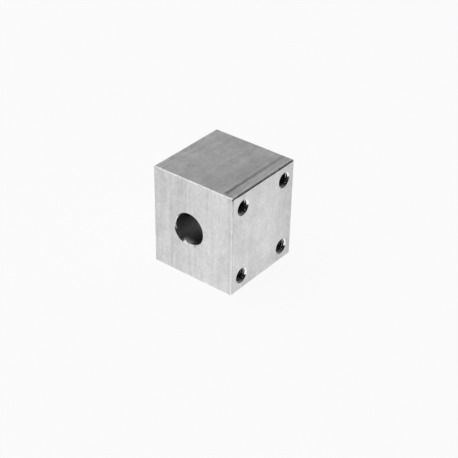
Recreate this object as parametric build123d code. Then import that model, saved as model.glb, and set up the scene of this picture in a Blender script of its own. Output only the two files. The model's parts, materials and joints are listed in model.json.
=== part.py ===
from build123d import *

import math
import os

# Lead screw nut housing: one block of aluminium bar, squared up, bored and tapped.
# Millimetres, +Z up. The origin is on the bore's axis, halfway along it. +X points out of
# the face that is screwed to the machine, -Y out of the face where the screw leaves, and
# +Y out of the face that the nut's flange sits on.

# Block
block_width = 30.0          # X, from the plain side to the mounting face
block_length = 30.0         # Y, along the bore
block_height = 34.0         # Z
edge_break = 0.4            # flat left on every outer edge by the deburring

# Bore for the nut's body
bore_diameter = 10.5
bore_to_mounting_face = 16.2
bore_mouth_break = 0.35

# Relief groove along the bore's wall, between two angles seen from the -Y face, with a
# bevel over its upper side at the front mouth
groove_depth = 0.7
groove_start_angle = 199.0
groove_end_angle = 239.0
lead_in_height = 1.0
lead_in_depth = 0.5

# Four M5 holes in the mounting face
mounting_spacing_y = 20.0
mounting_spacing_z = 24.0
mounting_tap_drill = 4.2
mounting_mouth = 5.2
mounting_drill_depth = 15.0

# Four M3 holes round the bore, for the screws of the nut's flange
flange_circle = 16.0
flange_screw_count = 4
flange_tap_drill = 2.5
flange_mouth = 3.4
flange_drill_depth = 10.0

# Tools that cut the holes
drill_point_angle = 118.0
countersink_angle = 90.0
cutter_overrun = 1.0        # how far each cutter starts outside the face it enters

bore_radius = bore_diameter / 2
front_face_y = -block_length / 2
flange_face_y = block_length / 2


def sawn_block():
    """The squared bar with its edges broken, set off centre from the bore's axis."""
    center_x = bore_to_mounting_face - block_width / 2
    block = Pos(center_x, 0, 0) * Box(block_width, block_length, block_height)
    return chamfer(block.edges(), edge_break)


def bore_cutter():
    """The through bore: half its section, with both mouths flared, turned about Y."""
    half = block_length / 2
    flare = bore_radius + bore_mouth_break
    section = Polyline(
        (0, -half - cutter_overrun),
        (flare + cutter_overrun, -half - cutter_overrun),
        (bore_radius, -half + bore_mouth_break),
        (bore_radius, half - bore_mouth_break),
        (flare + cutter_overrun, half + cutter_overrun),
        (0, half + cutter_overrun),
        close=True,
    )
    return revolve(make_face(section), Axis.Y)


def groove_cutter():
    """The relief groove: a sector that reaches past the bore's wall, from face to face."""
    outer = bore_radius + groove_depth
    inner = bore_radius / 2
    sweep_angle = groove_end_angle - groove_start_angle
    floor = CenterArc((0, 0), outer, groove_start_angle, sweep_angle)
    inside = CenterArc((0, 0), inner, groove_start_angle, sweep_angle)
    sides = [Line(inside @ 0, floor @ 0), Line(inside @ 1, floor @ 1)]
    sector = Plane.XZ * make_face([floor, inside] + sides)
    return extrude(sector, amount=block_length / 2 + cutter_overrun, both=True)


def lead_in_cutter():
    """The groove's bevel: a wedge under a plane that falls from the face to its corner."""
    start = math.radians(groove_start_angle)
    corner_x = (bore_radius + groove_depth) * math.cos(start)
    corner_z = (bore_radius + groove_depth) * math.sin(start)
    slope = lead_in_height / lead_in_depth
    section = Polyline(
        (front_face_y + lead_in_depth, corner_z),
        (front_face_y - cutter_overrun, corner_z),
        (front_face_y - cutter_overrun, corner_z + lead_in_height + cutter_overrun * slope),
        close=True,
    )
    return extrude(Plane.YZ.offset(corner_x) * make_face(section), amount=-corner_x / 2)


def tapped_hole(tap_drill, mouth, depth):
    """A blind hole down -Z from the origin: countersink, straight wall and drill point."""
    radius = tap_drill / 2
    sink_slope = math.tan(math.radians(countersink_angle / 2))
    sink_depth = (mouth / 2 - radius) / sink_slope
    point_depth = radius / math.tan(math.radians(drill_point_angle / 2))
    section = Polyline(
        (0, cutter_overrun),
        (mouth / 2 + cutter_overrun * sink_slope, cutter_overrun),
        (radius, -sink_depth),
        (radius, -depth),
        (0, -depth - point_depth),
        close=True,
    )
    return revolve(make_face(Plane.XZ * section), Axis.Z)


def mounting_holes():
    """The four M5 holes, two across and two up, centred on the bore's axis."""
    face = Plane(origin=(bore_to_mounting_face, 0, 0), x_dir=(0, 1, 0), z_dir=(1, 0, 0))
    hole = tapped_hole(mounting_tap_drill, mounting_mouth, mounting_drill_depth)
    places = GridLocations(mounting_spacing_y, mounting_spacing_z, 2, 2)
    return [face * place * hole for place in places]


def flange_holes():
    """The four M3 holes evenly spaced round the bore in the face that takes the flange."""
    face = Plane(origin=(0, flange_face_y, 0), x_dir=(-1, 0, 0), z_dir=(0, 1, 0))
    hole = tapped_hole(flange_tap_drill, flange_mouth, flange_drill_depth)
    places = PolarLocations(flange_circle / 2, flange_screw_count)
    return [face * place * hole for place in places]


def nut_housing():
    """The finished housing: the block less its bore, groove and tapped holes."""
    housing = sawn_block() - bore_cutter() - groove_cutter() - lead_in_cutter()
    for hole in mounting_holes() + flange_holes():
        housing = housing - hole
    return housing


os.makedirs("parts", exist_ok=True)
export_step(nut_housing(), "parts/nut_housing.step")
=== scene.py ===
import json
import math

import bmesh
import bpy
import numpy as np
from mathutils import Matrix, Vector
from mathutils.geometry import delaunay_2d_cdt


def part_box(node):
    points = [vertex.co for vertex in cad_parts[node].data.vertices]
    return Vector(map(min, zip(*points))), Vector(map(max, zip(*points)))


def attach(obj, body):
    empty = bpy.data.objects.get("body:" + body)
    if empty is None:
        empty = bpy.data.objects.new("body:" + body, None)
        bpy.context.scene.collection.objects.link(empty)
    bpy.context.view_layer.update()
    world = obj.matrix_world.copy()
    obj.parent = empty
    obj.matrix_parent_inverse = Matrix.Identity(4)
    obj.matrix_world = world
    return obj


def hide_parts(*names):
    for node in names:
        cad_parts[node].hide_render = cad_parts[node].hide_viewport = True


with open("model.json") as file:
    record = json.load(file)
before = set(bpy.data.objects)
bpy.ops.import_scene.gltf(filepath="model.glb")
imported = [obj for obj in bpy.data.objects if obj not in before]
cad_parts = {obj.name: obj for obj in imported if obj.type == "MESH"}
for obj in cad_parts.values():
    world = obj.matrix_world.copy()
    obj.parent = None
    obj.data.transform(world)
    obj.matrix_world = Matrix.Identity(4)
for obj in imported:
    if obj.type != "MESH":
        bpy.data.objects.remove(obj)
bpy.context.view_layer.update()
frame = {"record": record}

mm = 0.001
mounts = {mount["name"]: mount for mount in frame["record"]["mounts"]}
low, high = (np.array(corner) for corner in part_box("nut_housing"))
print("frame loaded")


# surfaces as grids

def gridFaces(rows, columns):
    # quads of a grid of points, row by row
    first = (np.arange(rows - 1)[:, None] * columns + np.arange(columns - 1)[None, :]).ravel()
    return np.stack([first, first + 1, first + columns + 1, first + columns], axis=1)


def gridPart(points, finish):
    rows, columns = points.shape[:2]
    return {"points": points.reshape(-1, 3), "faces": gridFaces(rows, columns), "finish": finish}


def insideLoop(points, loop):
    # even-odd rule: a point is inside where a ray to the right crosses the loop an odd number of times
    startU, startV = loop[:, 0], loop[:, 1]
    endU, endV = np.roll(startU, -1), np.roll(startV, -1)
    u, v = points[:, 0:1], points[:, 1:2]
    spans = (startV > v) != (endV > v)
    rise = np.where(endV == startV, 1.0, endV - startV)
    crossings = spans & (u < startU + (v - startV) * (endU - startU) / rise)
    return crossings.sum(axis=1) % 2 == 1


def holedFace(border, holes, axis, height, finish):
    # a flat face: its border loop and the mouths of its holes, joined by a constrained triangulation
    loops = [border] + holes
    flat = np.concatenate(loops)
    edges = []
    for loop in loops:
        start = len(edges)
        edges += [(start + i, start + (i + 1) % len(loop)) for i in range(len(loop))]
    made = delaunay_2d_cdt([Vector(point) for point in flat], edges, [], 0, 1e-9)
    triangles = np.array(made[2])
    middles = flat[triangles].mean(axis=1)
    kept = insideLoop(middles, border)
    for hole in holes:
        kept &= ~insideLoop(middles, hole)
    u, v = [k for k in range(3) if k != axis]
    points = np.empty((len(flat), 3))
    points[:, axis] = height
    points[:, u] = flat[:, 0]
    points[:, v] = flat[:, 1]
    return {"points": points, "faces": triangles[kept], "finish": finish}


# the block's outside

block = {
    "edgeBreak": 0.4 * mm,       # how far the deburring cut in from each edge
    "edgeRoundness": 1.3,        # 1 is a flat chamfer, 2 a full round
    "edgeWander": 0.13,          # share by which that width comes and goes
    "wanderWaves": ((1.3, 0.5), (3.9, 0.3), (9.4, 0.2)),   # its sines: turns along the edge, size
    "wanderSeed": 40,
    "wanderFade": 8,             # power by which it dies out towards the corners
    "edgeSpaces": 46,            # spaces along an edge
    "roundSpaces": 6,            # spaces across it
    "stepFromMount": 3.7 * mm,   # line left on the top where two cutter passes meet
    "stepWidth": 1.3 * mm,
    "stepDepth": 0.02 * mm,
    "stepStop": 1.3 * mm,        # the line ends this far from the front
    "stepFade": 0.5 * mm,        # and dies out over this much at the back
    "stepPoints": 9,             # points across the line
    "stopPoints": 5,             # points along its front end
    "stepClear": 0.55,           # plain points keep this share of its width from its middle
}
# edges broken by other shares of that width: edge's axis, sides of the other two axes, shares along those
edgeShares = {
    (1, (1, 1)): (1.5, 1.6),
    (0, (-1, 1)): (1.4, 0.75),
    (2, (1, -1)): (0.6, 0.4),
}
# dents on the edges: edge's axis, sides of the two other axes, place along it, half length, extra width
nicks = [
    (2, (-1, -1), -8.0 * mm, 0.8 * mm, 0.16 * mm),
    (2, (1, -1), 5.2 * mm, 0.7 * mm, 0.14 * mm),
    (0, (-1, 1), -4.1 * mm, 0.5 * mm, 0.10 * mm),
    (1, (1, 1), 7.6 * mm, 0.6 * mm, 0.12 * mm),
]


def stationsAlong(axis):
    # where the points lie along the edges of one axis, closer together where the top has its line
    ends = low[axis] + block["edgeBreak"], high[axis] - block["edgeBreak"]
    at = np.linspace(*ends, block["edgeSpaces"] + 1)
    middle = {0: high[0] - block["stepFromMount"], 1: low[1] + block["stepStop"]}
    count = {0: block["stepPoints"], 1: block["stopPoints"]}
    if axis in middle:
        close = middle[axis] + block["stepWidth"] * np.linspace(-0.5, 0.5, count[axis])
        clear = np.abs(at - middle[axis]) > block["stepWidth"] * block["stepClear"]
        at = np.concatenate([at[clear], close])
    return np.sort(at)


stations = [stationsAlong(axis) for axis in range(3)]


def edgeWidths(axis, sides, toward):
    # the width times its share plus slow sines, plus a bell curve for each nick; corners keep the width
    at = stations[axis]
    share = (at - at[0]) / (at[-1] - at[0])
    fade = 1 - (2 * share - 1) ** block["wanderFade"]
    draw = np.random.default_rng(block["wanderSeed"] + 9 * axis + 3 * sides[0] + sides[1])
    waves = sum(size * np.sin(2 * np.pi * (turns * share + draw.random()))
                for turns, size in block["wanderWaves"])
    extra = sum(deep * np.exp(-((at - place) / half) ** 2)
                for edgeAxis, edgeSides, place, half, deep in nicks
                if edgeAxis == axis and edgeSides == sides)
    others = [k for k in range(3) if k != axis]
    own = edgeShares.get((axis, tuple(sides)), (1.0, 1.0))[others.index(toward)]
    more = own - 1 + block["edgeWander"] * waves
    return block["edgeBreak"] * (1 + more * fade) + extra * fade


def cornerOf(axis, side):
    return high[axis] if side > 0 else low[axis]


def brokenEdge(axis, sides):
    # a quarter of a superellipse, as wide each way as the edge is broken, carried along the edge
    b, c = [k for k in range(3) if k != axis]
    widthB, widthC = (edgeWidths(axis, sides, toward)[:, None] for toward in (b, c))
    share = np.linspace(0, 1, block["roundSpaces"] + 1)[None, :]
    power = block["edgeRoundness"]
    reach = (share ** power + (1 - share) ** power) ** (1 / power)
    points = np.empty((len(stations[axis]), share.shape[1], 3))
    points[..., axis] = stations[axis][:, None]
    points[..., b] = cornerOf(b, sides[0]) - sides[0] * widthB * (1 - share / reach)
    points[..., c] = cornerOf(c, sides[1]) - sides[1] * widthC * (1 - (1 - share) / reach)
    return gridPart(points, "edges")


def brokenCorner(sides):
    # an eighth of a superellipsoid: the three directions' shares add up to one, then are pushed out to it
    share = np.linspace(0, 1, block["roundSpaces"] + 1)
    up, across = np.meshgrid(share, share, indexing="ij")
    parts = np.stack([up, (1 - up) * across, (1 - up) * (1 - across)], axis=-1)
    power = block["edgeRoundness"]
    reach = (parts ** power).sum(axis=-1, keepdims=True) ** (1 / power)
    corner = np.array([cornerOf(axis, sides[axis]) for axis in range(3)])
    points = corner - np.array(sides) * block["edgeBreak"] * (1 - parts / reach)
    return gridPart(points, "edges")


def faceSides(axis, side):
    # how far each of a face's four sides lies inside its edge: low u, high u, low v, high v
    u, v = [k for k in range(3) if k != axis]
    def inset(along, other, otherSide):
        pair = [otherSide if k == other else side for k in range(3) if k != along]
        return edgeWidths(along, tuple(pair), other)
    return (inset(v, u, -1), inset(v, u, 1), inset(u, v, -1), inset(u, v, 1))


def faceGrid(axis, side):
    # straight lines between the four wandering sides, blended both ways
    u, v = [k for k in range(3) if k != axis]
    lowU, highU, lowV, highV = (s - block["edgeBreak"] for s in faceSides(axis, side))
    atU, atV = stations[u][:, None], stations[v][None, :]
    shareU = (atU - atU[0]) / (atU[-1] - atU[0])
    shareV = (atV - atV[:, :1]) / (atV[:, -1:] - atV[:, :1])
    gridU = atU + lowU[None, :] * (1 - shareU) - highU[None, :] * shareU
    gridV = atV + lowV[:, None] * (1 - shareV) - highV[:, None] * shareV
    return gridU, gridV


def plainFace(axis, side, finish):
    u, v = [k for k in range(3) if k != axis]
    gridU, gridV = faceGrid(axis, side)
    points = np.empty(gridU.shape + (3,))
    points[..., u] = gridU
    points[..., v] = gridV
    points[..., axis] = cornerOf(axis, side)
    if axis == 2 and side > 0:
        points[..., 2] -= cutterLine(gridU, gridV)
    return gridPart(points, finish)


def cutterLine(x, y):
    # a smooth trough along Y, one cosine wide, that fades out before the front edge and at the back one
    across = np.clip(np.abs(x - (high[0] - block["stepFromMount"])) / (block["stepWidth"] / 2), 0, 1)
    fromFront = np.clip((y - low[1] - block["stepStop"]) / block["stepWidth"] + 0.5, 0, 1)
    fromBack = np.clip((high[1] - block["edgeBreak"] - y) / block["stepFade"], 0, 1)
    return block["stepDepth"] * (0.5 + 0.5 * np.cos(np.pi * across)) * fromFront * fromBack


def faceBorder(axis, side):
    gridU, gridV = faceGrid(axis, side)
    grid = np.stack([gridU, gridV], axis=-1)
    return np.concatenate([grid[:-1, 0], grid[-1, :-1], grid[:0:-1, -1], grid[0, :0:-1]])


# the bore with its groove

bore = {
    "radius": mounts["nut_bore"]["dims"]["r_mm"] * mm,
    "backBreak": 0.35 * mm,      # how far the back mouth is broken
    "frontBreak": 0.23 * mm,     # and the front one on average
    "swings": ((1, 0.11 * mm), (2, 0.09 * mm)),   # that width's change: times round the mouth, size
    "widestTowards": 92.0,       # where both are largest, in degrees seen from the front
    # where it is wider still: angle, half width, extra width; the first is a chip beside the groove
    "chips": ((246.0, 9.0, 0.52 * mm), (289.0, 28.0, 0.40 * mm), (191.0, 11.0, 0.12 * mm)),
    "steepest": (114.0, 30.0, 1.2),   # where it goes deeper than it is wide: angle, half width, extra share
    "grooveDepth": 0.7 * mm,
    "grooveStart": 199.0,
    "grooveEnd": 239.0,
    "leadInHeight": 1.0 * mm,    # bevel over the groove's upper side, at the front mouth
    "leadInDepth": 0.5 * mm,
    "leadInRoom": 0.05 * mm,     # its rows start at least this far below the flare
    "wallSpaces": 150,           # spaces round the wall
    "grooveSpaces": 16,
    "sideSpaces": 5,             # spaces along the bevel's two sides
    "flareSpaces": 4,            # spaces down the flare, and from there down the bevel
    "lengthSpaces": 24,
    "shadedFlareSpaces": 8,            # spaces of the flare beside the bevel that take the wall's darker finish, as painted shade
    # places at the front mouth that are rougher and painted brighter, a painted highlight where light falls
    # in: angle, reach, depth, share
    "roughPaintedLitSpots": [(245.0, 1.2 * mm, 2.6 * mm, 1.0), (258.0, 2.4 * mm, 3.4 * mm, 0.9),
                   (203.0, 1.5 * mm, 1.8 * mm, 0.45), (222.0, 1.7 * mm, 1.6 * mm, 0.22)],
}


def bell(angle, at, half):
    # a bell curve round the bore's axis, its middle and half width in degrees
    apart = (np.degrees(angle) - at + 180) % 360 - 180
    return np.exp(-(apart / half) ** 2)


def mouthBreak(angle):
    # width of the front mouth's flare: a mean, cosines once and twice round it and a bell for each chip
    turn = angle - math.radians(bore["widestTowards"])
    swings = sum(size * np.cos(times * turn) for times, size in bore["swings"])
    chips = sum(extra * bell(angle, at, half) for at, half, extra in bore["chips"])
    return bore["frontBreak"] + swings + chips


def mouthDepth(angle):
    # depth of that flare: its width, and more by a bell where it is steep
    at, half, extra = bore["steepest"]
    return mouthBreak(angle) * (1 + extra * bell(angle, at, half))


def rowDepth(row, angle):
    # rows run from the face at 0 down the flare to 1, the bevel to 2, along the wall to 3 and out at 4
    length = high[1] - low[1]
    flareEnd = mouthDepth(angle)
    bevelEnd = np.maximum(bore["leadInDepth"], flareEnd + bore["leadInRoom"])
    marks = [0, flareEnd, bevelEnd, length - bore["backBreak"], length]
    step = min(int(row), 3)
    return marks[step] + (marks[step + 1] - marks[step]) * (row - step) + 0 * angle


def wallRadius(row, angle):
    # the bore's radius, more by what is left of either flare
    depth = rowDepth(row, angle)
    fromBack = high[1] - low[1] - depth
    front = mouthBreak(angle) * np.maximum(1 - depth / mouthDepth(angle), 0)
    return bore["radius"] + front + np.maximum(bore["backBreak"] - fromBack, 0)


def boreOutline(row):
    # round the wall, out along the groove's upper side, down to its floor, along that and back
    outer = bore["radius"] + bore["grooveDepth"]
    start, end = np.radians([bore["grooveStart"], bore["grooveEnd"]])
    cornerX, cornerZ = outer * math.cos(start), outer * math.sin(start)
    sideDepth = rowDepth(row, start)
    bevel = cornerZ + bore["leadInHeight"] * max(1 - sideDepth / bore["leadInDepth"], 0)
    meets = min(start, np.pi + math.asin(-bevel / wallRadius(row, start)))
    wallAngles = np.linspace(end, meets + 2 * np.pi, bore["wallSpaces"] + 1)
    floorAngles = np.linspace(start, end, bore["grooveSpaces"] + 1)
    wall, lastWall = wallRadius(row, wallAngles), wallRadius(row, end)
    sideX = np.linspace(wall[-1] * math.cos(meets), cornerX, bore["sideSpaces"] + 1)[1:]
    sideZ = np.maximum(bevel, sideX * math.tan(start))
    dropZ = np.linspace(sideZ[-1], cornerZ, bore["sideSpaces"] + 1)[1:-1]
    x = np.concatenate([wall * np.cos(wallAngles), sideX, np.full(len(dropZ), cornerX),
                        outer * np.cos(floorAngles), [lastWall * math.cos(end)]])
    z = np.concatenate([wall * np.sin(wallAngles), sideZ, dropZ,
                        outer * np.sin(floorAngles), [lastWall * math.sin(end)]])
    depth = np.concatenate([rowDepth(row, wallAngles), np.full(len(sideX) + len(dropZ), sideDepth),
                            rowDepth(row, floorAngles), [rowDepth(row, end)]])
    return np.stack([x, low[1] + depth, z], axis=1)


def boreWall():
    # outlines row by row, joined into strips: the two flares, the wall between them and the groove
    mouth = np.linspace(0, 2, 2 * bore["flareSpaces"] + 1)
    rows = np.concatenate([mouth, np.linspace(2, 3, bore["lengthSpaces"] + 1)[1:], [4]])
    points = np.stack([boreOutline(row) for row in rows])
    flared, wallEnd = bore["flareSpaces"], bore["wallSpaces"] + 1
    # the flare's last spaces beside the bevel take the bore's darker finish: painted shade
    unshadedEnd = wallEnd - bore["shadedFlareSpaces"]
    parts = [gridPart(points[:flared + 1, :unshadedEnd], "mouths"),
             gridPart(points[:flared + 1, unshadedEnd - 1:wallEnd], "bore"),
             gridPart(points[flared:-1, :wallEnd], "bore"),
             gridPart(points[-2:, :wallEnd], "mouths"),
             gridPart(points[:, wallEnd - 1:], "bore")]
    return parts, points[0, :-1], points[-1, :-1]


# tapped holes

mountingHole = {
    "drill": mounts["mounting_holes"]["dims"]["hole_r_mm"] * mm,
    "root": 2.5 * mm,
    "mouth": 2.6 * mm,
    "pitch": 0.8 * mm,
    "threadDepth": 12.0 * mm,
    "drillDepth": 15.0 * mm,
    "sides": 72,
    "starts": (31, 33, 30, 32),  # where each thread starts, in sides round the mouth
    "finish": "mountingThreads",
}
flangeHole = {
    "drill": mounts["flange_holes"]["dims"]["hole_r_mm"] * mm,
    "root": 1.5 * mm,
    "mouth": 1.7 * mm,
    "pitch": 0.5 * mm,
    "threadDepth": 8.0 * mm,
    "drillDepth": 10.0 * mm,
    "sides": 48,
    "starts": (0, 17, 29, 40),
    "finish": "flangeThreads",
}
thread = {
    # turning points of the profile, as shares of the pitch from the middle of a crest
    "profile": [-7 / 16, -0.30, -1 / 8, 0.0, 1 / 8, 0.30, 7 / 16, 0.5],
    "crestHalf": 1 / 8,
    "flank": 5 / 16,
    "leadTurns": 2.5,            # turns over which the tap's lead dies out
    "drillPoint": 118.0,
}


def tappedWall(center, axes, hole, start):
    # rows follow the helix, two turns above the face to three below the lead's end; the radius is the
    # thread's at that turn and depth, or the countersink's where that is larger
    pitch = hole["pitch"]
    angle = np.linspace(0, 2 * np.pi, hole["sides"] + 1)[None, :]
    place = angle + start * angle[0, 1]
    lead = pitch * thread["leadTurns"]
    end = -hole["threadDepth"] - lead
    turns = np.arange(2, math.floor(end / pitch) - 3, -1)
    profile = np.array(thread["profile"])
    rows = np.sort((turns[:, None] + profile[None, :]).ravel())[::-1] * pitch
    climb = pitch * angle / (2 * np.pi)
    depth = np.clip(rows[:, None] + climb, end, 0)
    phase = np.abs((((depth - climb) / pitch + 0.5) % 1) - 0.5)
    cut = np.clip((phase - thread["crestHalf"]) / thread["flank"], 0, 1)
    fade = np.clip((depth - end) / lead, 0, 1)
    radius = hole["drill"] + (hole["root"] - hole["drill"]) * cut * fade
    radius = np.maximum(radius, hole["mouth"] + depth)
    tip = hole["drill"] / math.tan(math.radians(thread["drillPoint"] / 2))
    belowDepth = np.array([end, -hole["drillDepth"], -hole["drillDepth"] - tip])[:, None] + 0 * angle
    belowRadius = np.array([hole["drill"], hole["drill"], 0.0])[:, None] + 0 * angle
    walls = []
    for r, z in ((radius, depth), (belowRadius, belowDepth)):
        ring = np.stack([r * np.cos(place), r * np.sin(place), z], axis=-1)
        walls.append(gridPart(np.array(center) + ring @ np.array(axes), hole["finish"]))
    return walls


def mouthLoop(centerUV, hole, flip=False):
    # the ring where a tapped hole meets its face
    angle = np.linspace(0, 2 * np.pi, hole["sides"], endpoint=False)
    ring = hole["mouth"] * np.stack([np.cos(angle), np.sin(angle)], axis=1)
    if flip:
        ring = ring[:, ::-1]
    return np.array(centerUV) + ring


def mouthOutline(points):
    # a bore mouth's points in their face, each place once
    flat = points[:, ::2]
    moved = np.linalg.norm(flat - np.roll(flat, 1, axis=0), axis=1) > 1e-7
    return flat[moved]


# one closed mesh

def housingParts():
    parts = []
    for axis in range(3):
        for sideB in (-1, 1):
            for sideC in (-1, 1):
                parts.append(brokenEdge(axis, (sideB, sideC)))
    for sideX in (-1, 1):
        for sideY in (-1, 1):
            for sideZ in (-1, 1):
                parts.append(brokenCorner((sideX, sideY, sideZ)))
    parts.append(plainFace(0, -1, "sides"))
    parts.append(plainFace(2, -1, "ends"))
    parts.append(plainFace(2, 1, "ends"))

    dims = mounts["mounting_holes"]["dims"]
    mountingLoops = []
    for y in (-0.5 * dims["spacing_x_mm"] * mm, 0.5 * dims["spacing_x_mm"] * mm):
        for z in (-0.5 * dims["spacing_y_mm"] * mm, 0.5 * dims["spacing_y_mm"] * mm):
            start = mountingHole["starts"][len(mountingLoops)]
            parts += tappedWall((high[0], y, z), ((0, 1, 0), (0, 0, 1), (1, 0, 0)), mountingHole, start)
            mountingLoops.append(mouthLoop((y, z), mountingHole))
    parts.append(holedFace(faceBorder(0, 1), mountingLoops, 0, high[0], "sides"))

    dims = mounts["flange_holes"]["dims"]
    flangeLoops = []
    for turn in range(dims["count"]):
        angle = 2 * math.pi * turn / dims["count"]
        x, z = (0.5 * dims["pcd_mm"] * mm * f(angle) for f in (math.cos, math.sin))
        start = flangeHole["starts"][turn]
        parts += tappedWall((x, high[1], z), ((0, 0, 1), (1, 0, 0), (0, 1, 0)), flangeHole, start)
        flangeLoops.append(mouthLoop((x, z), flangeHole, flip=True))
    wall, frontMouth, backMouth = boreWall()
    parts += wall
    parts.append(holedFace(faceBorder(1, -1), [mouthOutline(frontMouth)], 1, low[1], "fronts"))
    parts.append(holedFace(faceBorder(1, 1), [mouthOutline(backMouth)] + flangeLoops, 1, high[1], "fronts"))
    return parts


weld = {
    "housing": 1e-6,             # points closer than this become one, in metres
    "floor": 1e-5,
    "sharpAngle": 25.0,
}


def joinPoints(mesh, distance, outward):
    joined = bmesh.new()
    joined.from_mesh(mesh)
    bmesh.ops.remove_doubles(joined, verts=joined.verts, dist=distance)
    if outward:
        bmesh.ops.recalc_face_normals(joined, faces=joined.faces)
    joined.to_mesh(mesh)
    joined.free()
    mesh.polygons.foreach_set("use_smooth", [True] * len(mesh.polygons))


def buildHousing(parts, finishes):
    slots = {name: index for index, name in enumerate(finishes)}
    points = np.concatenate([part["points"] for part in parts])
    faces, slotOfFace, start = [], [], 0
    for part in parts:
        faces += (part["faces"] + start).tolist()
        slotOfFace += [slots[part["finish"]]] * len(part["faces"])
        start += len(part["points"])
    mesh = bpy.data.meshes.new("nutHousing")
    mesh.from_pydata(points.tolist(), [], faces)
    mesh.polygons.foreach_set("material_index", slotOfFace)
    for material in finishes.values():
        mesh.materials.append(material)
    joinPoints(mesh, weld["housing"], outward=True)
    mesh.set_sharp_from_angle(angle=math.radians(weld["sharpAngle"]))
    piece = bpy.data.objects.new("nutHousing", mesh)
    bpy.context.scene.collection.objects.link(piece)
    return piece


# aluminium finishes

metal = {
    "wearWidth": 1.2 * mm,       # how far in from its edges a face is rubbed brighter
    "wearPatches": (900.0, (0.35, 0.65), (0.2, 1.0)),   # noise scale, its range, what that becomes
    "pitScale": 5200.0,
    "scratchRange": (0.66, 0.74),      # only the noise's peaks are scratches
    "topReach": (0.3 * mm, 0.1 * mm),  # depths under the top between which its own finish comes in
    "residue": (0.275, 0.275, 0.28),   # dirt in the cutter's line
    "residueReach": 0.75,        # how far it spreads, in widths of the line
    "residueEnd": 0.6 * mm,      # it comes in over this much before and after the line's front end
    "residueBack": 0.5,          # share of it that is left at the back
    "residueSway": (420.0, 0.4 * mm),  # noise scale, how far it strays
    "rubReach": (1.7 * mm, 0.8 * mm),  # distances from the mounting face between which the top gets rubbed
    "rubPatches": (700.0, (0.35, 0.62), (0.2, 1.0)),
    "shadeStart": 0.45 * mm,     # painted shade darkens the threads from this deep
    "shadeEnd": 3.4 * mm,
    "shade": (0.22, 0.22, 0.22),
    "ripplePitch": 0.58 * mm,    # chatter left by the cutter beyond its line on the top
    "rippleSize": 0.004,
    "rippleReach": (0.5 * mm, 1.0 * mm),   # distances past the line between which it comes in
    "ripplePatches": ((300.0, 160.0, 1.0), (0.42, 0.6), (0.0, 1.0)),
    "spotRough": 0.4,            # how much rougher the bore is at those places
    "spotCore": (0.3, 0.2),      # shares of a spot's reach and depth within which it is at its full
    "dullTowards": -118.0,       # side of the mounting holes that is rougher and painted mid-grey, as light falls there, in degrees from +Y towards +Z
    "dullReach": (0.55, 0.85),   # cosines from that side between which that painted grey and roughness grow
    "dullShadeColor": (0.52, 0.52, 0.52),
    "dullRough": 0.4,
}


class Nodes:
    # short hand for adding and linking a material's nodes

    def __init__(self, tree):
        self.tree = tree

    def add(self, kind, inputs=None, **settings):
        node = self.tree.nodes.new(kind)
        for key, value in settings.items():
            setattr(node, key, value)
        for key, value in (inputs or {}).items():
            if isinstance(value, bpy.types.NodeSocket):
                self.tree.links.new(value, node.inputs[key])
            else:
                node.inputs[key].default_value = value
        return node

    def math(self, operation, a, b=0.0, c=0.0):
        return self.add("ShaderNodeMath", {0: a, 1: b, 2: c}, operation=operation).outputs[0]

    def remap(self, value, fromLow, fromHigh, toLow, toHigh):
        inputs = {0: value, 1: fromLow, 2: fromHigh, 3: toLow, 4: toHigh}
        return self.add("ShaderNodeMapRange", inputs, interpolation_type="SMOOTHSTEP").outputs[0]

    def noise(self, point, scale, detail=3.0, roughness=0.5, distortion=0.0):
        inputs = {"Vector": point, "Scale": scale, "Detail": detail,
                  "Roughness": roughness, "Distortion": distortion}
        return self.add("ShaderNodeTexNoise", inputs).outputs[0]

    def blend(self, share, first, second):
        mixed = self.add("ShaderNodeMix", {"Factor": share}, data_type="RGBA", clamp_factor=True)
        for key, value in (("A", first), ("B", second)):
            socket = next(s for s in mixed.inputs if s.name == key and s.type == "RGBA")
            if isinstance(value, bpy.types.NodeSocket):
                self.tree.links.new(value, socket)
            else:
                socket.default_value = value + (1.0,)
        return next(s for s in mixed.outputs if s.type == "RGBA")

    def stretched(self, point, scale, turn=(0, 0, 0), shift=(0, 0, 0)):
        inputs = {"Vector": point, "Location": shift, "Rotation": turn, "Scale": scale}
        return self.add("ShaderNodeMapping", inputs).outputs[0]

    def split(self, point):
        return self.add("ShaderNodeSeparateXYZ", {0: point}).outputs

    def vector(self, operation, a, b=(0.0, 0.0, 0.0)):
        # a dot product or a distance is a number, the rest are vectors
        outputs = self.add("ShaderNodeVectorMath", {0: a, 1: b}, operation=operation).outputs
        return outputs["Value"] if operation in ("DOT_PRODUCT", "DISTANCE") else outputs[0]

    def patches(self, point, scale, span, share):
        # a noise's values between two limits, as a share between two others
        return self.remap(self.noise(point, scale, 3.0), *span, *share)

    def layered(self, base, look, layers):
        # a base value and each layer's departure from one half, by its share in the look
        for layer, share in layers:
            base = self.math("MULTIPLY_ADD", self.math("SUBTRACT", layer, 0.5), look[share], base)
        return base


def edgeDistance(nodes, point):
    # the second smallest distance to the box's planes, which is the distance to the nearest edge
    parts = nodes.split(point)
    gaps = []
    for axis in range(3):
        middle, half = (low[axis] + high[axis]) / 2, (high[axis] - low[axis]) / 2
        away = nodes.math("ABSOLUTE", nodes.math("SUBTRACT", parts[axis], middle))
        gaps.append(nodes.math("SUBTRACT", half, away))
    smaller = nodes.math("MINIMUM", gaps[0], gaps[1])
    larger = nodes.math("MAXIMUM", gaps[0], gaps[1])
    return nodes.math("MAXIMUM", smaller, nodes.math("MINIMUM", larger, gaps[2]))


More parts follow.
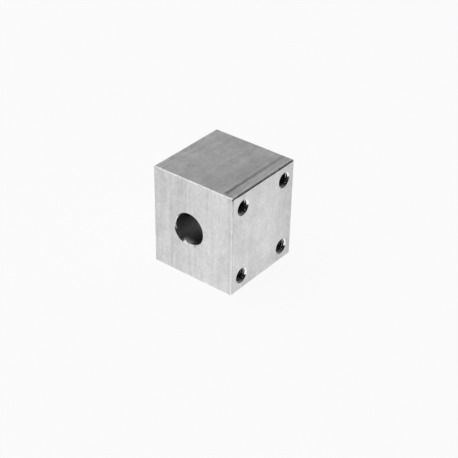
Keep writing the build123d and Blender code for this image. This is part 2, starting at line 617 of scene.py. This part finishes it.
def metalFinish(name, look):
    # cloudy mottle, fine grain, streaks along the cut, rubbed edges, a few scratches and pits
    material = bpy.data.materials.new(name)
    material.use_nodes = True
    nodes = Nodes(material.node_tree)
    shader = next(n for n in material.node_tree.nodes if n.type == "BSDF_PRINCIPLED")
    shader.inputs["Metallic"].default_value = 1.0
    point = nodes.add("ShaderNodeTexCoord").outputs["Object"]
    cloud = nodes.noise(point, look["cloudScale"], 5.0, 0.6, 0.5)
    grain = nodes.noise(nodes.stretched(point, look["grainScale"]), 1.0, 3.0, 0.6)
    streak = nodes.noise(nodes.stretched(point, look["streakScale"], look["turn"]), 1.0, 3.0, 0.6)
    hair = nodes.noise(nodes.stretched(point, look["hairScale"], look["turn"]), 1.0, 4.0, 0.65)
    pits = nodes.noise(point, metal["pitScale"], 2.0, 0.6)
    scratched = nodes.stretched(point, look["scratchScale"], look["scratchTurn"])
    scratch = nodes.remap(nodes.noise(scratched, 1.0, 2.0, 0.5, 0.3), *metal["scratchRange"], 0.0, 1.0)
    wear = nodes.remap(edgeDistance(nodes, point), 0.0, metal["wearWidth"], 1.0, 0.0)
    wear = nodes.math("MULTIPLY", wear, nodes.patches(point, *metal["wearPatches"]))

    tone = nodes.layered(look["tone"], look, ((cloud, "cloudTone"), (grain, "grainTone"),
                                              (streak, "streakTone"), (hair, "hairTone")))
    tone = nodes.math("MULTIPLY_ADD", wear, look["wearTone"], tone)
    tone = nodes.math("MULTIPLY_ADD", scratch, look["scratchTone"], tone)
    # painted light and shade: tone that rises or falls across a face, standing in for how reflections fall
    # on it
    for axis, start, end, more in look.get("shadeDrifts", ()):
        tone = nodes.math("ADD", tone, nodes.remap(nodes.split(point)[axis], start, end, 0.0, more))
    if "line" in look:
        tone = nodes.math("MULTIPLY_ADD", stripRub(nodes, point), look["rubTone"], tone)
    color = nodes.blend(tone, look["dark"], look["light"])
    if "line" in look:
        residue = nodes.math("MULTIPLY", lineShade(nodes, point), look["line"])
        color = nodes.blend(residue, color, metal["residue"])
    # painted highlight: the bore's rough places near the front mouth are painted brighter
    if "paintedLitSpots" in look:
        paintedLitSpots = roughPaintedLitSpots(nodes, point)
        color = nodes.blend(paintedLitSpots, color, look["paintedLitSpots"])
    # painted shade deeper down the tapped holes
    if "holeAxis" in look:
        color = nodes.blend(paintedHoleShade(nodes, point, look["holeAxis"]), color, metal["shade"])
    # painted shade and light: one side of each mounting hole is painted mid-grey, and made rougher
    if "dull" in look:
        dull = nodes.math("MULTIPLY", dullShadedSide(nodes, point), look["dull"])
        color = nodes.blend(dull, color, metal["dullShadeColor"])
    material.node_tree.links.new(color, shader.inputs["Base Color"])

    rough = nodes.layered(look["rough"], look, ((cloud, "cloudRough"), (grain, "grainRough"),
                                                (hair, "hairRough"), (wear, "wearRough")))
    if "paintedLitSpots" in look:
        rough = nodes.math("MULTIPLY_ADD", paintedLitSpots, metal["spotRough"], rough)
    if "dull" in look:
        rough = nodes.math("MULTIPLY_ADD", dull, metal["dullRough"], rough)
    material.node_tree.links.new(rough, shader.inputs["Roughness"])

    relief = nodes.math("MULTIPLY", streak, look["streakRelief"])
    for layer, share in ((grain, "grainRelief"), (hair, "hairRelief"),
                         (pits, "pitRelief"), (scratch, "scratchRelief")):
        relief = nodes.math("MULTIPLY_ADD", layer, look[share], relief)
    if "line" in look:
        relief = nodes.math("ADD", relief, chatter(nodes, point))
    bump = nodes.add("ShaderNodeBump", {"Height": relief, "Strength": 1.0, "Distance": mm})
    material.node_tree.links.new(bump.outputs[0], shader.inputs["Normal"])
    return material


def onTop(nodes, parts):
    return nodes.remap(parts[2], *(high[2] - depth for depth in metal["topReach"]), 0.0, 1.0)


def lineShade(nodes, point):
    # the dull residue in the cutter line on the top, strongest towards the front
    parts = nodes.split(point)
    scale, stray = metal["residueSway"]
    sway = nodes.math("MULTIPLY_ADD", nodes.noise(point, scale, 3.0, 0.6), 2 * stray, -stray)
    place = nodes.math("SUBTRACT", nodes.math("ADD", parts[0], sway), high[0] - block["stepFromMount"])
    reach = block["stepWidth"] * metal["residueReach"]
    across = nodes.remap(nodes.math("ABSOLUTE", place), 0.0, reach, 1.0, 0.0)
    stop = low[1] + block["stepStop"]
    fromFront = nodes.remap(parts[1], stop - metal["residueEnd"], stop + metal["residueEnd"], 0.0, 1.0)
    along = nodes.remap(parts[1], low[1], high[1], 1.0, metal["residueBack"])
    product = nodes.math("MULTIPLY", nodes.math("MULTIPLY", across, onTop(nodes, parts)), fromFront)
    return nodes.math("MULTIPLY", product, along)


def stripRub(nodes, point):
    # the top is rubbed in patches beside its edge to the mounting face
    parts = nodes.split(point)
    beside = nodes.remap(parts[0], *(high[0] - away for away in metal["rubReach"]), 0.0, 1.0)
    patches = nodes.patches(point, *metal["rubPatches"])
    return nodes.math("MULTIPLY", nodes.math("MULTIPLY", beside, onTop(nodes, parts)), patches)


def chatter(nodes, point):
    # waves across the strip beyond the line, one sine along Y that comes and goes
    parts = nodes.split(point)
    wave = nodes.math("SINE", nodes.math("MULTIPLY", parts[1], 2 * math.pi / metal["ripplePitch"]))
    scale, span, share = metal["ripplePatches"]
    comes = nodes.remap(nodes.noise(nodes.stretched(point, scale), 1.0, 2.0), *span, *share)
    line = high[0] - block["stepFromMount"]
    onStrip = nodes.remap(parts[0], *(line + past for past in metal["rippleReach"]), 0.0, 1.0)
    size = nodes.math("MULTIPLY", nodes.math("MULTIPLY", comes, onStrip), onTop(nodes, parts))
    return nodes.math("MULTIPLY", nodes.math("MULTIPLY", wave, size), metal["rippleSize"])


def paintedHoleShade(nodes, point, axis):
    # how much painted shade darkens a tapped hole's wall, by its depth under the face that the hole is in
    depth = nodes.math("SUBTRACT", high[axis], nodes.split(point)[axis])
    return nodes.remap(depth, metal["shadeStart"], metal["shadeEnd"], 0.0, 1.0)


def dullShadedSide(nodes, point):
    # how far a point lies to the side of the nearest mounting hole that is rougher and painted mid-grey, as
    # light falls there
    parts = nodes.split(point)
    dims = mounts["mounting_holes"]["dims"]
    local = {}
    for axis, spacing in ((1, dims["spacing_x_mm"]), (2, dims["spacing_y_mm"])):
        center = nodes.math("MULTIPLY", nodes.math("SIGN", parts[axis]), 0.5 * spacing * mm)
        local[axis] = nodes.math("SUBTRACT", parts[axis], center)
    flat = nodes.add("ShaderNodeCombineXYZ", local).outputs[0]
    turn = math.radians(metal["dullTowards"])
    towards = (0.0, math.cos(turn), math.sin(turn))
    cosine = nodes.vector("DOT_PRODUCT", nodes.vector("NORMALIZE", flat), towards)
    return nodes.remap(cosine, *metal["dullReach"], 0.0, 1.0)


def roughPaintedLitSpots(nodes, point):
    # how near a point is to one of the bore's rough places that are painted brighter as a highlight: its
    # distance from a line along Y, and its depth
    flat = nodes.vector("MULTIPLY", point, (1.0, 0.0, 1.0))
    depth = nodes.math("SUBTRACT", nodes.split(point)[1], low[1])
    nearest = 0.0
    coreReach, coreDepth = metal["spotCore"]
    for angle, reach, deep, share in bore["roughPaintedLitSpots"]:
        turn = math.radians(angle)
        line = (bore["radius"] * math.cos(turn), 0.0, bore["radius"] * math.sin(turn))
        away = nodes.vector("DISTANCE", flat, line)
        near = nodes.math("MULTIPLY", nodes.remap(away, coreReach * reach, reach, share, 0.0),
                          nodes.remap(depth, coreDepth * deep, deep, 1.0, 0.0))
        nearest = nodes.math("MAXIMUM", nearest, near)
    return nearest


plainLook = {
    "dark": (0.48, 0.48, 0.485), "light": (0.88, 0.88, 0.88), "tone": 0.6,
    "cloudScale": 190.0, "cloudTone": 1.0, "grainScale": (1500.0, 1500.0, 1100.0), "grainTone": 0.8,
    "streakScale": (520.0, 520.0, 22.0), "streakTone": 0.5,
    "hairScale": (3600.0, 3600.0, 110.0), "hairTone": 0.35, "turn": (0, 0, 0), "wearTone": 0.05,
    "scratchScale": (900.0, 900.0, 60.0), "scratchTurn": (0.3, 0.5, 0.2), "scratchTone": 0.25,
    "rough": 0.42, "cloudRough": 0.12, "grainRough": 0.10, "hairRough": 0.10, "wearRough": -0.06,
    "streakRelief": 0.006, "grainRelief": 0.004, "hairRelief": 0.003, "pitRelief": 0.002,
    "scratchRelief": -0.002,
}
# the tone drifts listed in these looks are painted light and shade across the faces
looks = {
    "ends": dict(plainLook, tone=0.665, streakScale=(520.0, 24.0, 520.0), hairScale=(2600.0, 120.0, 2600.0),
                 turn=(0, 0, math.radians(8)), grainScale=(1500.0, 1100.0, 1500.0), line=0.95, rubTone=0.45,
                 shadeDrifts=[(0, low[0], high[0] - 4 * mm, -0.17)], wearTone=0.15,
                 scratchScale=(900.0, 60.0, 900.0)),
    "fronts": dict(plainLook, tone=0.50, cloudTone=0.9, streakScale=(760.0, 760.0, 22.0), streakTone=0.8,
                   hairTone=0.45, shadeDrifts=[(0, low[0], high[0], 0.22),
                                          (0, high[0] - 2.0 * mm, high[0] - 0.9 * mm, -0.22)]),
    "sides": dict(plainLook, cloudTone=0.9, streakTone=0.35, tone=0.53, rough=0.34,
                  shadeDrifts=[(1, 3 * mm, high[1], -0.22), (1, low[1] + 1.0 * mm, low[1] + 0.5 * mm, -0.25),
                          (2, low[2] + 9 * mm, low[2] + 3 * mm, -0.12)]),
    "mouths": dict(plainLook, light=(0.96, 0.96, 0.96), tone=0.95, rough=0.25, wearTone=0.0,
                   streakRelief=0.003),
    "edges": dict(plainLook, tone=0.8, rough=0.3, cloudScale=700.0, streakRelief=0.003, grainRelief=0.007),
    # the bore's colours are darker than the faces': painted shade inside the bore
    "bore": dict(plainLook, tone=0.45, dark=(0.22, 0.22, 0.22), light=(0.65, 0.65, 0.65), rough=0.36,
                 paintedLitSpots=(0.92, 0.92, 0.92), streakScale=(60.0, 900.0, 60.0),
                 hairScale=(150.0, 5000.0, 150.0), wearTone=0.0, streakRelief=0.008, hairRelief=0.005),
    "mountingThreads": dict(plainLook, light=(0.96, 0.96, 0.96), tone=1.0, rough=0.15,
                            streakScale=(900.0, 200.0, 200.0), hairScale=(4000.0, 700.0, 700.0),
                            wearTone=0.0, holeAxis=0, dull=1.0),
    "flangeThreads": dict(plainLook, tone=0.8, rough=0.22, streakScale=(200.0, 900.0, 200.0),
                          hairScale=(700.0, 4000.0, 700.0), wearTone=0.0, holeAxis=1),
}
finishes = {name: metalFinish(name, look) for name, look in looks.items()}
print("finishes made")

housing = buildHousing(housingParts(), finishes)
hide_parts("nut_housing")
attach(housing, "root")
print("housing made:", len(housing.data.polygons), "faces")


# floor, lights and camera

studio = {
    "floorReach": 1.2,           # flat part's radius
    "floorRise": 0.14,           # height of the rim that it curves up to
    "flatRings": (0.02, 1.0, 24),      # rings of the flat part, as shares of its radius: first, last, count
    "rimRings": (1.04, 1.4, 10),       # rings of the rim
    "floorSides": 72,
    "floorGap": 0.02 * mm,       # the block stands this far over it, so the two don't share a plane
    "floorColor": 0.92,
    "floorGlow": 0.92,           # share of plain white that the floor shows
    "dimFrom": (45 * mm, -5 * mm, 0.0),   # tip of a wedge of the floor that metal reflects as a dim room
    "dimTowards": -34.0,         # where the wedge points, in degrees from +X
    "dimReach": (0.78, 0.84),    # cosines from that way between which it turns dim
    "dimLight": 0.03,
    "sky": 0.40,
    "skyDark": 0.016,
    "darkTowards": (0.90, -0.05, 0.43),
    "darkReach": (0.42, 0.66),   # cosines between which the sky turns dark
    "sideLamp": {"towards": (-0.516, -0.22, 0.82), "distance": 1.3, "size": 1.4, "power": 2.5},
    "topLamp": {"towards": (0.05, -0.05, 1.0), "distance": 1.0, "size": 1.2, "power": 2.0},
    "frontLamp": {"towards": (0.07, -0.72, 0.69), "distance": 1.3, "size": 0.8, "power": 0.4},
}


def floorFinish():
    # pale and matt, but plain white to the camera and to metal, which sees one wedge of it dim
    material = bpy.data.materials.new("paleFloor")
    material.use_nodes = True
    material.node_tree.nodes.clear()
    nodes = Nodes(material.node_tree)
    plain = nodes.add("ShaderNodeBsdfDiffuse", {"Color": (studio["floorColor"],) * 3 + (1.0,)}).outputs[0]
    glow = nodes.add("ShaderNodeEmission", {"Strength": 1.0}).outputs[0]
    dim = nodes.add("ShaderNodeEmission", {"Strength": studio["dimLight"]}).outputs[0]
    ray = nodes.add("ShaderNodeLightPath").outputs
    mirrored = nodes.math("MAXIMUM", ray["Is Glossy Ray"], ray["Is Transmission Ray"])
    seen = nodes.math("MAXIMUM", ray["Is Camera Ray"], mirrored)
    white = nodes.math("MULTIPLY", seen, studio["floorGlow"])
    lit = nodes.add("ShaderNodeMixShader", {0: white, 1: plain, 2: glow}).outputs[0]
    point = nodes.add("ShaderNodeTexCoord").outputs["Object"]
    fromTip = nodes.stretched(point, (1, 1, 0), shift=tuple(-part for part in studio["dimFrom"]))
    turn = math.radians(studio["dimTowards"])
    towards = (math.cos(turn), math.sin(turn), 0.0)
    cosine = nodes.vector("DOT_PRODUCT", nodes.vector("NORMALIZE", fromTip), towards)
    inside = nodes.math("MULTIPLY", mirrored, nodes.remap(cosine, *studio["dimReach"], 0.0, 1.0))
    surface = nodes.add("ShaderNodeMixShader", {0: inside, 1: lit, 2: dim}).outputs[0]
    nodes.add("ShaderNodeOutputMaterial", {"Surface": surface})
    return material


def makeFloor():
    # a disc whose rim curves up like a bowl's: height is the square of the distance past the flat part
    flatRings = np.concatenate([[0.0], np.geomspace(*studio["flatRings"])])
    ring = np.concatenate([flatRings, np.linspace(*studio["rimRings"])])
    angle = np.linspace(0, 2 * np.pi, studio["floorSides"] + 1)
    radius = ring * studio["floorReach"]
    rimWidth = studio["rimRings"][1] - 1
    height = studio["floorRise"] * np.clip((ring - 1) / rimWidth, 0, None) ** 2
    points = np.empty((len(ring), len(angle), 3))
    points[..., 0] = radius[:, None] * np.cos(angle)
    points[..., 1] = radius[:, None] * np.sin(angle)
    points[..., 2] = (low[2] - studio["floorGap"] + height)[:, None]
    mesh = bpy.data.meshes.new("floor")
    mesh.from_pydata(points.reshape(-1, 3).tolist(), [], gridFaces(*points.shape[:2]).tolist())
    joinPoints(mesh, weld["floor"], outward=False)
    mesh.materials.append(floorFinish())
    floor = bpy.data.objects.new("floor", mesh)
    bpy.context.scene.collection.objects.link(floor)


def makeSky():
    # plain grey overhead, darker towards one side, like a room behind a lit table; white to the camera
    world = bpy.data.worlds.new("studioSky")
    bpy.context.scene.world = world
    world.use_nodes = True
    nodes = Nodes(world.node_tree)
    world.node_tree.nodes.clear()
    direction = nodes.add("ShaderNodeTexCoord").outputs["Generated"]
    dark = tuple(Vector(studio["darkTowards"]).normalized())
    facing = nodes.vector("DOT_PRODUCT", direction, dark)
    level = nodes.remap(facing, *studio["darkReach"], studio["sky"], studio["skyDark"])
    seen = nodes.add("ShaderNodeLightPath").outputs["Is Camera Ray"]
    inputs = {"Color": (1.0, 1.0, 1.0, 1.0), "Strength": nodes.math("MAXIMUM", level, seen)}
    light = nodes.add("ShaderNodeBackground", inputs).outputs[0]
    nodes.add("ShaderNodeOutputWorld", {"Surface": light})


def makeLamp(name, lamp):
    data = bpy.data.lights.new(name, "AREA")
    data.shape = "DISK"
    data.size = lamp["size"]
    data.energy = lamp["power"]
    item = bpy.data.objects.new(name, data)
    direction = Vector(lamp["towards"]).normalized()
    item.location = Vector((low + high) / 2) + direction * lamp["distance"]
    item.rotation_mode = "QUATERNION"
    item.rotation_quaternion = direction.to_track_quat("Z", "Y")
    bpy.context.scene.collection.objects.link(item)


camera = {
    "azimuth": 37.67,
    "elevation": 33.46,
    "roll": 1.14,
    "distance": 352.8 * mm,
    "aside": -1.68 * mm,         # the block's middle lies this far to the right of the line of sight
    "above": 5.65 * mm,          # and this far above it
    "lens": 90.57,
    "sensor": 36.0,
}


def makeCamera():
    data = bpy.data.cameras.new("camera")
    data.lens = camera["lens"]
    data.sensor_width = camera["sensor"]
    data.clip_start = 0.01
    data.clip_end = 10.0
    azimuth, elevation, roll = (math.radians(camera[k]) for k in ("azimuth", "elevation", "roll"))
    back = Vector((math.sin(azimuth) * math.cos(elevation),
                   -math.cos(azimuth) * math.cos(elevation), math.sin(elevation)))
    level = Vector((math.cos(azimuth), math.sin(azimuth), 0))
    upright = back.cross(level)
    right = level * math.cos(roll) + upright * math.sin(roll)
    up = upright * math.cos(roll) - level * math.sin(roll)
    middle = Vector((low + high) / 2)
    place = middle - right * camera["aside"] - up * camera["above"] + back * camera["distance"]
    item = bpy.data.objects.new("camera", data)
    item.matrix_world = Matrix.Translation(place) @ Matrix((right, up, back)).transposed().to_4x4()
    bpy.context.scene.collection.objects.link(item)
    bpy.context.scene.camera = item


makeFloor()
makeSky()
for name in ("sideLamp", "topLamp", "frontLamp"):
    makeLamp(name, studio[name])
makeCamera()
bpy.context.scene.view_settings.view_transform = "Standard"
print("studio made")
